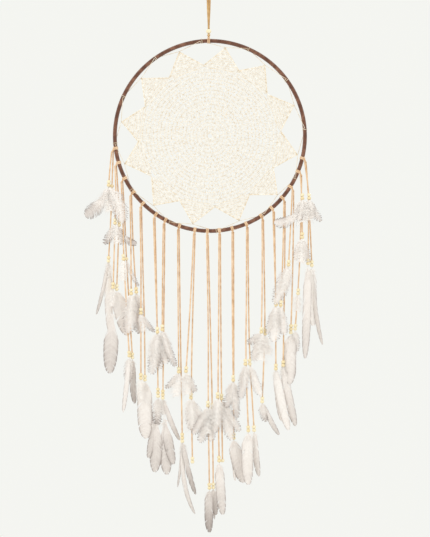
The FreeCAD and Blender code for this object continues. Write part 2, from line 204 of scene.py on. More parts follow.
def hoop_axes(angle):
    """Away from the hoop's centre, and along its tube, at an angle from straight down,
    positive to the left."""
    a = math.radians(angle)
    return Vector((-math.sin(a), 0, -math.cos(a))), Vector((-math.cos(a), 0, math.sin(a)))


def on_hoop(angle, radius):
    return HOOP_CENTRE + hoop_axes(angle)[0] * radius


def on_tube(angle, turn, radius, along=0.0):
    """A place round the hoop's tube: 0 is away from the centre, and a quarter turn the front."""
    outward, axis = hoop_axes(angle)
    away = outward * math.cos(turn) + Vector((0, -math.sin(turn), 0))
    return on_hoop(angle, HOOP_RADIUS) + axis * along + away * radius


def tangent_frames(points):
    """Directions along a line of points, with a side direction that doesn't spin."""
    frames = []
    side = None
    for i, point in enumerate(points):
        ahead = points[min(i + 1, len(points) - 1)]
        behind = points[max(i - 1, 0)]
        along = (ahead - behind).normalized()
        if side is None:
            side = Vector((0, 1, 0)).cross(along)
            if side.length < 0.1:
                side = Vector((1, 0, 0)).cross(along)
        side = (side - along * side.dot(along)).normalized()
        frames.append((point, along, side, along.cross(side)))
    return frames


def skin(rings, closed=False):
    """Verts and faces of a tube through rings of places, capped at both ends or closed into
    a loop."""
    size, count = len(rings[0]), len(rings)
    faces = []
    for i in range(count if closed else count - 1):
        here, there = i * size, (i + 1) % count * size
        for j in range(size):
            k = (j + 1) % size
            faces.append((here + j, here + k, there + k, there + j))
    if not closed:
        faces.append(tuple(reversed(range(size))))
        faces.append(tuple(range((count - 1) * size, count * size)))
    return [place for ring in rings for place in ring], faces


def sweep(points, section, closed=False):
    """A section carried along points. section(i) gives its (side, up) corners."""
    return skin([[point + side * a + up * b for a, b in section(i)]
                 for i, (point, along, side, up) in enumerate(tangent_frames(points))], closed)


def rounded(width, thick, shoulder=0.85, crown=1.06):
    """A flat strap's section with eased edges."""
    w, t = width / 2, thick / 2
    return [(w, 0), (w * shoulder, t), (0, t * crown), (-w * shoulder, t),
            (-w, 0), (-w * shoulder, -t), (0, -t * crown), (w * shoulder, -t)]


def oval(wide, tall, sides=5):
    """A thread's section."""
    return [(wide * math.cos(2 * math.pi * j / sides), tall * math.sin(2 * math.pi * j / sides))
            for j in range(sides)]


def turned(section, angle):
    c, s = math.cos(angle), math.sin(angle)
    return [(u * c - v * s, u * s + v * c) for u, v in section]


def spline_points(route):
    """The points of a smooth NURBS line through a route, read from the curve itself."""
    curve = bpy.data.curves.new("route", "CURVE")
    curve.dimensions = "3D"
    curve.resolution_u = 12
    spline = curve.splines.new("NURBS")
    spline.points.add(len(route) - 1)
    for slot_point, place in zip(spline.points, route):
        slot_point.co = (*place, 1)
    spline.order_u = 3
    spline.use_endpoint_u = True
    holder = bpy.data.objects.new("route", curve)
    mesh = bpy.data.meshes.new_from_object(holder)
    points = [v.co.copy() for v in mesh.vertices]
    bpy.data.meshes.remove(mesh)
    bpy.data.objects.remove(holder)
    bpy.data.curves.remove(curve)
    return points


def evenly(points, step):
    """Points a fixed step apart along a line of points, with its own two ends."""
    lengths = [0]
    for a, b in zip(points, points[1:]):
        lengths.append(lengths[-1] + (b - a).length)
    count = max(2, round(lengths[-1] / step) + 1)
    out, i = [], 0
    for n in range(count):
        goal = lengths[-1] * n / (count - 1)
        while i < len(points) - 2 and lengths[i + 1] < goal:
            i += 1
        share = (goal - lengths[i]) / (lengths[i + 1] - lengths[i])
        out.append(points[i].lerp(points[i + 1], min(max(share, 0), 1)))
    return out


def length_of(points):
    return sum((b - a).length for a, b in zip(points, points[1:]))


# ---- Materials ----
def new_material(name, roughness, sheen=0.0, specular=0.3):
    """A procedural material with its shader; colour and bump are linked by the caller."""
    material = bpy.data.materials.new(name)
    material.use_nodes = True
    shader = material.node_tree.nodes["Principled BSDF"]
    shader.inputs["Roughness"].default_value = roughness
    shader.inputs["Specular IOR Level"].default_value = specular
    shader.inputs["Sheen Weight"].default_value = sheen
    shader.inputs["Sheen Roughness"].default_value = 0.6
    return material, material.node_tree, shader


def add_node(tree, kind, **settings):
    node = tree.nodes.new(kind)
    for key, value in settings.items():
        if key in node.inputs:
            node.inputs[key].default_value = value
        else:
            setattr(node, key, value)
    return node


def ramp(tree, source, stops):
    node = tree.nodes.new("ShaderNodeValToRGB")
    elements = node.color_ramp.elements
    while len(elements) < len(stops):
        elements.new(0.5)
    for element, (place, colour) in zip(elements, stops):
        element.position = place
        element.color = (*colour, 1)
    tree.links.new(source, node.inputs["Fac"])
    return node.outputs["Color"]


def object_noise(tree, scale, detail=4, stretch=(1, 1, 1)):
    """Noise in the piece's own coordinates, in metres."""
    place = tree.nodes.new("ShaderNodeTexCoord")
    mapping = add_node(tree, "ShaderNodeMapping")
    mapping.inputs["Scale"].default_value = stretch
    tree.links.new(place.outputs["Object"], mapping.inputs["Vector"])
    noise = add_node(tree, "ShaderNodeTexNoise", Scale=scale, Detail=detail)
    tree.links.new(mapping.outputs["Vector"], noise.inputs["Vector"])
    return noise.outputs["Fac"]


def bump(tree, shader, height, strength, distance):
    node = add_node(tree, "ShaderNodeBump", Strength=strength, Distance=distance)
    tree.links.new(height, node.inputs["Height"])
    tree.links.new(node.outputs["Normal"], shader.inputs["Normal"])


def streaked(tree, shader, base, streak, strength):
    """Link a base colour, darkened by a streak, to the shader."""
    mix = add_node(tree, "ShaderNodeMix", data_type="RGBA", blend_type="MULTIPLY")
    mix.inputs["Factor"].default_value = strength
    tree.links.new(base, mix.inputs["A"])
    tree.links.new(streak, mix.inputs["B"])
    tree.links.new(mix.outputs["Result"], shader.inputs["Base Color"])


def suede(name, dark, middle, light):
    """Suede lace: mottled, matt, with a short nap."""
    material, tree, shader = new_material(name, 0.92, sheen=0.35, specular=0.15)
    mottle = object_noise(tree, 90, 5)
    colour = ramp(tree, mottle, ((0.25, dark), (0.5, middle), (0.75, light)))
    tree.links.new(colour, shader.inputs["Base Color"])
    bump(tree, shader, object_noise(tree, 1800, 6, (1, 1, 0.4)), 0.5, 0.0002)
    return material


def wood():
    """Pale turned wood: fine rings and pores under a thin satin finish."""
    material, tree, shader = new_material("bead_wood", 0.42, specular=0.4)
    shader.inputs["Coat Weight"].default_value = 0.15
    shader.inputs["Coat Roughness"].default_value = 0.3
    geometry = tree.nodes.new("ShaderNodeNewGeometry")
    base = ramp(tree, geometry.outputs["Random Per Island"],
                ((0.0, (0.88, 0.72, 0.42)), (0.35, (0.95, 0.85, 0.58)),
                 (1.0, (0.98, 0.93, 0.74))))
    grain = object_noise(tree, 260, 5, (1, 1, 5))
    streak = ramp(tree, grain, ((0.35, (0.78, 0.66, 0.50)), (0.6, (1, 1, 1))))
    streaked(tree, shader, base, streak, 0.6)
    bump(tree, shader, grain, 0.25, 0.0002)
    return material


def cotton(name, shade, middle, light, mottle):
    """Cotton thread: matt, uneven in colour, with the twist of its ply as bump."""
    material, tree, shader = new_material(name, 0.9, sheen=0.15, specular=0.15)
    colour = ramp(tree, object_noise(tree, mottle, 3),
                  ((0.36, shade), (0.50, middle), (0.64, light)))
    tree.links.new(colour, shader.inputs["Base Color"])
    bump(tree, shader, object_noise(tree, 900, 3), 0.6, 0.0002)
    return material


def feather_material():
    """Feather: white at the down, then mauve grey and taupe by the tone each vertex carries."""
    material, tree, shader = new_material("feather", 0.75, sheen=0.25, specular=0.25)
    tone = add_node(tree, "ShaderNodeAttribute", attribute_name="tone")
    colour = ramp(tree, tone.outputs["Fac"],
                  ((0.0, (1.0, 0.97, 0.94)), (0.3, (0.86, 0.80, 0.76)),
                   (0.65, (0.52, 0.46, 0.43)), (1.0, (0.20, 0.16, 0.15))))
    streak = ramp(tree, object_noise(tree, 420, 4), ((0.3, (0.91, 0.90, 0.89)), (0.6, (1, 1, 1))))
    streaked(tree, shader, colour, streak, 0.8)
    bump(tree, shader, object_noise(tree, 1500, 2), 0.2, 0.0001)
    return material


def steel():
    """Bright drawn wire, its grey mottled by noise."""
    material, tree, shader = new_material("ring_steel", 0.3)
    shader.inputs["Metallic"].default_value = 1.0
    colour = ramp(tree, object_noise(tree, 300, 3),
                  ((0.3, (0.48, 0.48, 0.5)), (0.7, (0.65, 0.65, 0.66))))
    tree.links.new(colour, shader.inputs["Base Color"])
    return material


LACE_SUEDE = suede("lace_suede", (.58, .35, .19), (.78, .53, .32), (.90, .68, .47))
HANGING_SUEDE = suede("hanging_suede", (.42, .23, .09), (.58, .35, .14), (.69, .46, .22))
WRAP_SUEDE = suede("wrap_suede", (.085, .030, .016), (.15, .058, .032), (.30, .14, .085))
BEAD_WOOD = wood()
DOILY_COTTON = cotton("doily_cotton", (.77, .64, .47), (.90, .81, .67), (.97, .93, .85), 190)
LASHING_COTTON = cotton("lashing_cotton", (.66, .50, .33), (.82, .69, .50), (.92, .84, .70), 120)
FEATHER = feather_material()
RING_STEEL = steel()


# ---- Laces ----
LACE_STEP = 0.004


def flat_lace(points, seed, start_turn):
    """A flat strap of suede that turns slowly about its own line as it hangs."""
    dice = random.Random(seed)
    swing = dice.uniform(0.20, 0.50)
    wave = dice.uniform(0.07, 0.13)
    phase = dice.uniform(0, 6.28)
    step = length_of(points) / (len(points) - 1)

    def section(i):
        turn = start_turn + swing * math.sin(i * step / wave * 2 * math.pi + phase)
        width = LACE * (1 + 0.06 * math.sin(i * 1.7 + seed))
        return turned(rounded(width, LACE_THICKNESS, 0.86, 1.05), turn)

    return sweep(points, section)


def tail_route(angle, tail, side):
    """A tail's route: below its hitch, then through its own points, into its last bead."""
    depth = DEPTHS[side]
    aside = TAIL_SPREAD * (-1, 1)[side]
    outward = -TAIL_OUT * math.sin(math.radians(angle))
    top = on_hoop(angle, HOOP_RADIUS) + Vector((outward, 0, -TAIL_DOWN))
    points = [top + Vector((aside, TOP_DEPTH * depth, 0))]
    for x, drop, beads in tail:
        across = x / 1000 if beads else x / 1000 + aside
        points.append(HOOP_CENTRE + Vector((across, depth, -drop / 1000)))
    return points


def flow_at(points, i):
    """The lace's direction at a point of its route: the mean of its runs in and out."""
    into = (points[i] - points[i - 1]).normalized()
    if i + 1 == len(points):
        return into
    return (into + (points[i + 1] - points[i]).normalized()).normalized()


def lace_tail(number, side, route, last_count):
    """One tail of a strand as one piece of suede lace."""
    name = f"strand_{number:02d}_tail_{('front', 'back')[side]}"
    end = route[-1] + flow_at(route, len(route) - 1) * ((last_count - 1) / 2 * BEAD_HEIGHT)
    line = evenly(spline_points(route[:-1] + [end]), LACE_STEP)
    lace = flat_lace(line, number * 7 + side * 3, 0.4 * side)
    piece = add_mesh(name, [lace], f"strand_{number:02d}", LACE_SUEDE)
    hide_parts(f"strand_{number:02d}_lace")
    tuple(route[0])
    length_of(line)
    [tuple(p) for p in line]


# ---- Beads ----
BEAD_RIM = 0.0005
BEAD_PROFILE_STEPS = 9


def bead_mesh(centre, flow, width, height, bore, sides=28):
    """A turned bead: a rounded profile with softened rims round its bore."""
    radius = width / 2
    flat = math.sqrt(max(radius**2 - (height / 2) ** 2, 0))
    profile = [(bore / 2, -height / 2 + BEAD_RIM),
               (bore / 2 + BEAD_RIM * 0.4, -height / 2 + BEAD_RIM * 0.3),
               (max(flat, bore / 2 + BEAD_RIM), -height / 2)]
    for i in range(1, BEAD_PROFILE_STEPS):
        z = -height / 2 + height * i / BEAD_PROFILE_STEPS
        profile.append((math.sqrt(radius**2 - z**2), z))
    profile += [(r, -z) for r, z in reversed(profile[:3])]
    turn = Vector((0, 0, -1)).rotation_difference(flow).to_matrix()
    rings = []
    for i in range(sides):
        a = -2 * math.pi * i / sides
        rings.append([centre + turn @ Vector((r * math.cos(a), r * math.sin(a), z))
                      for r, z in profile])
    return skin(rings, closed=True)


def bead_stacks(number, routes, tails):
    """All the beads of one strand as one piece."""
    dice = random.Random(900 + number)
    parts = []
    for route, tail in zip(routes, tails):
        for index, (_, _, count) in enumerate(tail):
            flow = flow_at(route, index + 1)
            for i in range(count):
                centre = route[index + 1] + flow * ((i - (count - 1) / 2) * BEAD_HEIGHT)
                tilt = Vector((dice.uniform(-0.05, 0.05), dice.uniform(-0.05, 0.05), 0))
                parts.append(bead_mesh(centre, (flow + tilt).normalized(),
                                       BEAD_WIDTH * dice.uniform(0.94, 1.0),
                                       BEAD_HEIGHT * dice.uniform(0.93, 0.98), BEAD_BORE))
    name = f"strand_{number:02d}_beads"
    piece = add_mesh(name + "_turned", parts, f"strand_{number:02d}", BEAD_WOOD)
    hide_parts(name)


# ---- Feathers ----
Kind = namedtuple("Kind", "bare shaft_width spacing lead fluff_end")
FEATHER_KINDS = {
    # bare, lead, a barb's run ahead of its root, and fluff_end are shares of the length.
    "wing": Kind(0.03, 0.0011, 0.0011, 0.16, 0.16),
    "half": Kind(0.30, 0.0012, 0.0011, 0.14, 0.36),
    "plume": Kind(0.04, 0.0008, 0.0009, 0.20, 0.75),
    "paddle": Kind(0.04, 0.0009, 0.0009, 0.14, 0.70),
    "down": Kind(0.02, 0.0005, 0.0005, 0.0, 0.88),
}
Vane = namedtuple("Vane", "narrowest opens over shoulder end cover loose splits clump cling "
                          "rim rim_power body")
CLOSE_LOOKS = (0.42, 6, (0.08, 0.45, 0.40, 0.3, 0.7))
VANES = {
    # A vane is narrowest at its foot, opens over a share of the length, and closes past its
    # shoulder, more bluntly for a higher end. A barb covers a number of gaps, and is loose by
    # a share of its reach. Clumps of a fewest and a most barbs cling together. The rim is
    # darker, in a thinner edge for a higher rim_power. body is for body_tone.
    "wing": Vane(0.0, -0.0312, 0.26, 0.50, 3.0, 1.7, 0.015, 2, (8, 22), 0.14, *CLOSE_LOOKS),
    "half": Vane(0.10, 0.08, 0.25, 0.60, 3.0, 1.7, 0.02, 2, (7, 18), 0.18, *CLOSE_LOOKS),
    "plume": Vane(0.35, 0.0, 0.35, 0.55, 3.0, 1.0, 0.22, 4, (3, 8), 0.60, 0.70, 4,
                  (0.05, 0.25, 0.85, 0.4, 0.6)),
    "paddle": Vane(0.30, 0.26, 0.40, 0.72, 2.4, 1.0, 0.10, 4, (7, 16), 0.12, 0.70, 4,
                   (0.04, 0.15, 0.75, 0.50, 0.25)),
}
CLOSE_VANED = ("wing", "half")
CURL_POWER = 1.6  # how late along the shaft a feather's curl comes
SHAFT_STEPS = 16
BARB_STEPS = 4
VANE_END = 0.985
SPLIT_REACH = 0.012
VANE_CUP = 0.22  # how far a barb's tip stands forward, as a share of its reach
BARB_RELIEF = 0.00007  # keeps barbs that overlap from lying in one plane
FLUFF_GAP = 0.00026
DOWN_GAP = 0.00017
FLUFF_BARB = 0.00085
FLUFF_DEPTH = 0.7
WIDEST_FLUFF = 0.024


def shaft_line(length, curl, dice):
    """A feather's shaft in its own XZ plane, starting straight down and curling sideways."""
    here = Vector((0, 0, 0))
    points = [here]
    bow = math.radians(dice.uniform(-6, 6))
    for i in range(SHAFT_STEPS):
        share = (i + 1) / SHAFT_STEPS
        heading = math.radians(curl * share**CURL_POWER)
        here = here + Vector((math.sin(heading), math.sin(bow * share) * 0.5,
                              -math.cos(heading))) * (length / SHAFT_STEPS)
        points.append(here)
    return points


def ribbon(root, bend, tip, wide, width, taper, tone):
    """One barb: a narrow ribbon curving from root past bend to tip, its width along wide."""
    verts, faces, tones = [], [], []
    for i in range(BARB_STEPS + 1):
        t = i / BARB_STEPS
        here = root.lerp(bend, t).lerp(bend.lerp(tip, t), t)
        half = width / 2 * (1 - taper * t * t)
        verts += [here - wide * half, here + wide * half]
        tones += [tone(t)] * 2
    for i in range(BARB_STEPS):
        faces.append((2 * i, 2 * i + 1, 2 * i + 3, 2 * i + 2))
    return verts, faces, tones


def eased(value):
    value = min(1.0, max(0.0, value))
    return value * value * (3 - 2 * value)


def vane_width(kind, share):
    """The vane's half width along the shaft, as a share of its greatest. It closes to nothing
    at the tip in a round end."""
    looks = VANES[kind]
    opened = eased((share - FEATHER_KINDS[kind].bare - looks.opens) / looks.over)
    rise = looks.narrowest + (1 - looks.narrowest) * opened
    close = max(0.0, share - looks.shoulder) / (1 - looks.shoulder)
    return rise * math.sqrt(max(0.0, 1 - close**looks.end))


def body_tone(kind, share, tone):
    """A barb's tone at a share of the length, out of the feather's own."""
    palest, low, gain, start, over = VANES[kind].body
    return palest + tone * (low + gain * eased((share - start) / over))


def fluff(kind, length, width, tone, on_shaft, dice):
    """Soft barbs that stand off the shaft all round, from its quill to fluff_end."""
    bare, fluff_end = FEATHER_KINDS[kind].bare, FEATHER_KINDS[kind].fluff_end
    fluff_width = width if kind in ("down", "plume") else min(width, WIDEST_FLUFF)
    gap = DOWN_GAP if kind == "down" else FLUFF_GAP
    for n in range(int(length * (fluff_end - bare) / gap)):
        share = bare + (fluff_end - bare) * dice.random()
        point, along, sideways, up = on_shaft(share)
        swing = dice.uniform(-1.0, 1.0)
        outward = (sideways * dice.choice((-1, 1)) * math.cos(swing)
                   + up * (FLUFF_DEPTH * math.sin(swing)))
        belly = 0.55 + 0.45 * math.sin(math.pi * min(1, share / fluff_end) ** 0.8)
        reach = fluff_width / 2 * belly * dice.uniform(0.60, 1.28)
        tip = point + outward * reach + along * reach * dice.uniform(0.5, 1.3)
        bend = point + outward * reach * 0.75 + along * reach * dice.uniform(-0.1, 0.25)
        wisp = 0.40 * dice.random()
        yield ribbon(point, bend, tip, (along + outward * 0.4).normalized(), FLUFF_BARB, 0.7,
                     lambda t, wisp=wisp: 0.04 + tone * 0.3 + (0.12 + wisp) * t * t)


def vane(kind, length, width, tone, on_shaft, dice):
    """The flat web on both sides of the shaft, barb by barb."""
    bare, _, spacing, lead, _ = FEATHER_KINDS[kind]
    looks = VANES[kind]
    count = int(length * (1 - bare) / spacing)
    splits = [dice.uniform(0.25, 0.9) for n in range(looks.splits)]
    for side in (-1, 1):
        if kind in CLOSE_VANED:
            fullness = 1.0 if side > 0 else 0.85
        else:
            fullness = dice.uniform(0.92, 1.0)
        centres = []
        while len(centres) < count:
            size = dice.randint(*looks.clump)
            centres += [len(centres) + (size - 1) / 2] * size
        for n in range(count):
            start = bare + (VANE_END - bare) * (n + 0.5) / count
            pull = (centres[n] - n) * looks.cling * (VANE_END - bare) / count
            aimed = min(VANE_END, start + pull)
            end = min(1.0, aimed + lead * ((1 - aimed) / (1 - bare)) ** 0.6)
            point, along, sideways, up = on_shaft(start)
            foot, _, foot_side, foot_up = on_shaft(end)
            loose = 1 + dice.uniform(-looks.loose, looks.loose)
            if any(abs(end - split) < SPLIT_REACH for split in splits):
                loose *= 0.8
            half = width / 2 * vane_width(kind, end) * fullness * loose
            relief = up * (BARB_RELIEF * (-1) ** n)
            tip = foot + foot_side * (side * half) + foot_up * (half * VANE_CUP) + relief
            bend = (point + sideways * (side * half * 0.62) + up * (half * 0.04)
                    + along * ((end - start) * length * 0.28) + relief)
            body = body_tone(kind, end, tone) + dice.uniform(-0.05, 0.05)
            yield ribbon(point, bend, tip, along, spacing * looks.cover, 0.25,
                         lambda t, body=body: min(1.0, body + looks.rim * t**looks.rim_power))


def feather(kind, length, width, curl, tone, dice):
    """A feather hanging from its root at the origin, its flat side to the front. Gives verts,
    faces and one tone for each vert."""
    line = shaft_line(length, curl, dice)
    frames = tangent_frames(line)

    def on_shaft(share):
        place = min(max(share, 0.0), 1.0) * SHAFT_STEPS
        i = min(int(place), SHAFT_STEPS - 1)
        return (line[i].lerp(line[i + 1], place - i), *frames[i][1:])

    def shaft_section(i):
        r = FEATHER_KINDS[kind].shaft_width / 2 * (1 - 0.85 * i / SHAFT_STEPS)
        return [(r * math.cos(a), r * math.sin(a)) for a in (0.3, 1.6, 2.9, 4.2, 5.4)]

    verts, faces = sweep(line, shaft_section)
    tones = [0.12 + tone * 0.35] * len(verts)
    barbs = list(fluff(kind, length, width, tone, on_shaft, dice))
    if kind in VANES:
        barbs += vane(kind, length, width, tone, on_shaft, dice)
    for barb_verts, barb_faces, barb_tones in barbs:
        start = len(verts)
        verts += barb_verts
        faces += [tuple(i + start for i in face) for face in barb_faces]
        tones += barb_tones
    return verts, faces, tones


ROOT_DEPTH = 0.0006  # how far a quill reaches into the bead above it
ROOT_SPACING = 0.0014  # from one quill to the next, under a tail's last bead
ROOT_IN_FRONT = 0.0022  # of the first quill before a lace that runs on, and then each next
ROOT_STEP = 0.0012
TILT_OUT = 5.5


def feathers_of(number, routes, tails):
    """All the feathers of one strand as one piece."""
    parts, tones = [], []
    dice = random.Random(4000 + number)
    for side, index, *group in FEATHERS.get(number, ()):
        count = tails[side][index][2]
        flow = flow_at(routes[side], index + 1)
        root = routes[side][index + 1] + flow * (count / 2 * BEAD_HEIGHT - ROOT_DEPTH)
        at_end = index + 1 == len(tails[side])
        for i, (kind, length, width, lean, curl, tone) in enumerate(group):
            spread = (i - (len(group) - 1) / 2) * ROOT_SPACING
            shift = Vector((0, spread if at_end else -ROOT_IN_FRONT - ROOT_STEP * i, 0))
            outward = (-1, 1)[side] if at_end else -1
            pitch = math.radians(outward * TILT_OUT + dice.uniform(-3, 3))
            spin = math.radians(dice.uniform(-14, 14))
            start_lean = lean - curl / (CURL_POWER + 1)
            turn = (Matrix.Rotation(math.radians(-start_lean), 3, "Y")
                    @ Matrix.Rotation(pitch, 3, "X") @ Matrix.Rotation(spin, 3, "Z"))
            verts, faces, own_tones = feather(kind, length / 1000, width / 1000, curl, tone, dice)
            parts.append(([root + shift + turn @ v for v in verts], faces))
            tones += own_tones
    name = f"strand_{number:02d}_feathers"
    piece = add_mesh(name + "_soft", parts, f"strand_{number:02d}", FEATHER)
    attribute = piece.data.attributes.new("tone", "FLOAT", "POINT")
    attribute.data.foreach_set("value", tones)
    if name in frame["nodes"]:
        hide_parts(name)


# ---- Hoop, its wrap and its hitches ----
WRAP_PITCH = 0.0048
WRAP_STEPS = 7
WRAP_RIDGE = 0.00028
WRAP_SIDES = 20
CORE_RADIUS = 0.00252


def ring_wrap():
    """Suede strip wound round the ring: each turn's edge stands a little over the last."""
    turns = round(2 * math.pi * HOOP_RADIUS / WRAP_PITCH)
    count = turns * WRAP_STEPS
    dice = random.Random(11)
    lift = [dice.uniform(0.5, 1.1) for n in range(turns + 1)]
    outside, inside = [], []
    for i in range(count):
        angle = 180 + 360 * i / count
        ring = []
        for j in range(WRAP_SIDES):
            wound = i / WRAP_STEPS + j / WRAP_SIDES
            ridge = WRAP_RIDGE * lift[int(wound) % turns] * (wound % 1 - 1)
            ring.append(on_tube(angle, -2 * math.pi * j / WRAP_SIDES, HOOP_TUBE / 2 + ridge))
        outside.append(ring)
        inside.append([on_tube(angle, 2 * math.pi * j / WRAP_SIDES, CORE_RADIUS)
                       for j in range(WRAP_SIDES)])
    shells = [skin(outside, closed=True), skin(inside, closed=True)]
    piece = add_mesh("ring_wrap_wound", shells, "hoop", WRAP_SUEDE)
    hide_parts("ring_wrap")


BAND_STEPS = 26
STRAP_STEP = 0.0008
HITCH_WIDTH = 0.0027
HITCH_THICKNESS = 0.0011
HITCH_OFF_TUBE = 0.0006
HITCH_TURN = 0.00155  # from the knot's middle to each of its two turns
HITCH_SEAM = 0.9  # where a turn starts and ends round the tube, in radians
# The bight: along the hoop, round its tube in radians, and height over the turns' middle.
BIGHT = ((-1, 0.8, -0.0002), (-0.8, 1.0, 0.0009), (0, 1.15, 0.0012), (0.8, 1.0, 0.0009),
         (1, 0.8, -0.0002))
BIGHT_REACH = 0.0034


def band(angle, along, drift):
    """A flat strap wound once round the hoop's tube, drifting along it."""
    radius = HOOP_TUBE / 2 + HITCH_OFF_TUBE
    rings = []
    for i in range(BAND_STEPS + 1):
        share = i / BAND_STEPS
        here = along + drift * (share - 0.5)
        rings.append([on_tube(angle, 2 * math.pi * share - HITCH_SEAM, radius + v, here + u)
                      for u, v in rounded(HITCH_WIDTH, HITCH_THICKNESS)])
    return skin(rings)


def strap(points, width, thick, spin=0.0):
    """A short flat strap along points."""
    shape = turned(rounded(width, thick), spin)
    return sweep(evenly(spline_points(points), STRAP_STEP), lambda i: shape)


def hitch(angle, ends, dice):
    """A lark's-head knot: two turns round the hoop, the bight across them, and the two ends
    that leave under the bight."""
    radius = HOOP_TUBE / 2 + HITCH_OFF_TUBE
    parts = [band(angle, step * HITCH_TURN, step * dice.uniform(0.0002, 0.0010))
             for step in (-1, 1)]
    parts.append(strap([on_tube(angle, turn, radius + height, along * BIGHT_REACH)
                        for along, turn, height in BIGHT], 0.0012, 0.0026))
    for side, end in zip((-1, 1), ends):
        start = on_tube(angle, 0.4101, radius * 1.0032, side * 0.0008)
        middle = start.lerp(end, 0.5) - Vector((0, 0.0004, 0))
        parts.append(strap([start, middle, end + (end - start).normalized() * 0.0006],
                           HITCH_WIDTH, 0.0012))
    return parts


def hitches():
    """The twenty hitches as one piece: the hanger's at the top, the strands' below."""
    dice = random.Random(77)
    parts = []
    for angle, *tails in STRANDS:
        ends = [tail_route(angle, tail, side)[0] for side, tail in enumerate(tails)]
        parts += hitch(angle, ends, dice)
    top_angle = 180 - math.degrees(math.asin((HOOP_CENTRE.x - LOOP_BEAD_CENTRE.x) / HOOP_RADIUS))
    joints = frame["record"]["behaviour"]["joints"]
    pivot = next(Vector(j["pos_m"]) for j in joints if j["name"] == "hoop_swing")
    parts += hitch(top_angle, [pivot + Vector((x, 0, 0)) for x in (-0.0012, 0.0012)], dice)
    piece = add_mesh("lark_head_knots", parts, "hoop", LACE_SUEDE)
    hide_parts("lark_head_hitches")


# ---- Hanging loop ----
# Half the loop's width at the nail, its shoulders, its legs and its neck, the heights of the
# two between, and how far the neck rises from the bead.
LOOP_HALF_WIDTH = 0.0040
SHOULDER_HALF_WIDTH, SHOULDER_Z = 0.0022, -0.020
LEG_HALF_WIDTH, LEG_Z = 0.0016, -0.042
NECK_HALF_WIDTH, NECK_RISE = 0.0008, 0.008
LEG_DEPTH = 0.0007
LOOP_LACE_NARROW = 0.0026
LOOP_LACE_WIDE = 0.0043
WIDENS_FROM, WIDENS_OVER = -0.080, 0.04
TURNS_FROM, TURNS_OVER = -0.022, 0.016  # where the lace turns to lie flat on the nail
LOOP_STEP = 0.002
# The stopper knot: its drop below the bead, and the turn, radius and squash of each coil.
KNOT_DROP = 0.0036
KNOT_COILS = ((0.35, 0.0026, 0.85), (-0.45, 0.0025, 0.8), (1.3, 0.0022, 0.9))
KNOT_END_DROP = 0.0062


def hanging_loop():
    """The doubled lace over the nail, its bead, and the stopper knot under the bead."""
    top = bead_high.z
    left = [(-NECK_HALF_WIDTH, -LEG_DEPTH, top - 0.0002),
            (-NECK_HALF_WIDTH, -LEG_DEPTH, top + NECK_RISE),
            (-LEG_HALF_WIDTH, -LEG_DEPTH, LEG_Z),
            (-SHOULDER_HALF_WIDTH, -LEG_DEPTH, SHOULDER_Z),
            (-LOOP_HALF_WIDTH, 0, LACE / 2 - LOOP_HALF_WIDTH)]
    over = [(-LOOP_HALF_WIDTH, 0, LACE / 2), (LOOP_HALF_WIDTH, 0, LACE / 2)]
    right = [(-x, -y, z) for x, y, z in reversed(left)]
    line = evenly(spline_points([Vector(p) for p in left + over + right]), LOOP_STEP)

    def section(i):
        """Flat to the front in the legs, and flat on the nail at the top."""
        at_nail = eased((line[i].z - TURNS_FROM) / TURNS_OVER)
        widened = eased((line[i].z - WIDENS_FROM) / WIDENS_OVER)
        width = LOOP_LACE_NARROW + (LOOP_LACE_WIDE - LOOP_LACE_NARROW) * widened
        width += (LACE - width) * at_nail
        return turned(rounded(width, LACE_THICKNESS), math.pi / 2 * at_nail)

    loop = add_mesh("hanging_lace", [sweep(line, section)], "hanger", HANGING_SUEDE)
    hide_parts("hanging_loop")
    tuple(line[0])
    length_of(line)
    [tuple(p) for p in line]

    turned_bead = bead_mesh(LOOP_BEAD_CENTRE, Vector((0, 0, -1)), bead_high.x - bead_low.x,
                            bead_high.z - bead_low.z, 0.004, sides=36)
    bead = add_mesh("hanging_bead_turned", [turned_bead], "hanger", BEAD_WOOD)
    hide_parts("hanging_bead")

    knot_centre = Vector((0, 0, bead_low.z - KNOT_DROP))
    parts = []
    for turn, radius, squash in KNOT_COILS:
        ring = []
        for n in range(25):
            b = 2 * math.pi * n / 24
            flat = Vector((radius * math.cos(b), radius * math.sin(b) * squash, 0))
            ring.append(knot_centre + Matrix.Rotation(turn, 3, "Y") @ flat)
        parts.append(sweep(ring, lambda i: rounded(0.0026, 0.0014)))
    for x in (-NECK_HALF_WIDTH, NECK_HALF_WIDTH):
        parts.append(strap([Vector((x, 0, bead_low.z + 0.002)), knot_centre + Vector((x, 0, 0)),
                            Vector((x * 1.4, 0, knot_centre.z - KNOT_END_DROP))],
                           0.0026, 0.0013, 1.57))
    knot = add_mesh("stopper_knot", parts, "hanger", HANGING_SUEDE)
    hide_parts("hanging_loop")


# ---- Crocheted star and its lashing ----
YARN = 0.00052
FIRST_ROUND = 0.0055
ROUND_HEIGHT = 0.0074
ROW_HEIGHT = 0.0046
CHAIN = 0.0032
WEAVE = 0.0002  # how far stitches stand out of the star's plane
CLOSE_GAP = 0.0031
OPEN_GAP = 0.0070
POINT_GAP = 0.0027
ROSETTE_RADIUS = 0.042
LEAF_LOW, LEAF_HIGH = 0.052, 0.124  # the radii between which the leaves lie
POINT_ROOT = 0.120
POINT_HALF_ANGLE = math.radians(15)
POINT_FOOT = DOILY_VALLEY_RADIUS * math.cos(POINT_HALF_ANGLE)
POINT_HALF_WIDTH = DOILY_VALLEY_RADIUS * math.sin(POINT_HALF_ANGLE)


def tip_angle(share):
    """The angle from straight down at a number of points round the star, counted from a tip."""
    count = len(DOILY_TIPS)
    whole = math.floor(share)
    here = DOILY_TIPS[whole % count]
    gap = (DOILY_TIPS[(whole + 1) % count] - here) % 360
    return here + gap * (share - whole) - 180


def star_place(share, radius, depth=0.0):
    return on_hoop(tip_angle(share), radius) + Vector((0, depth, 0))


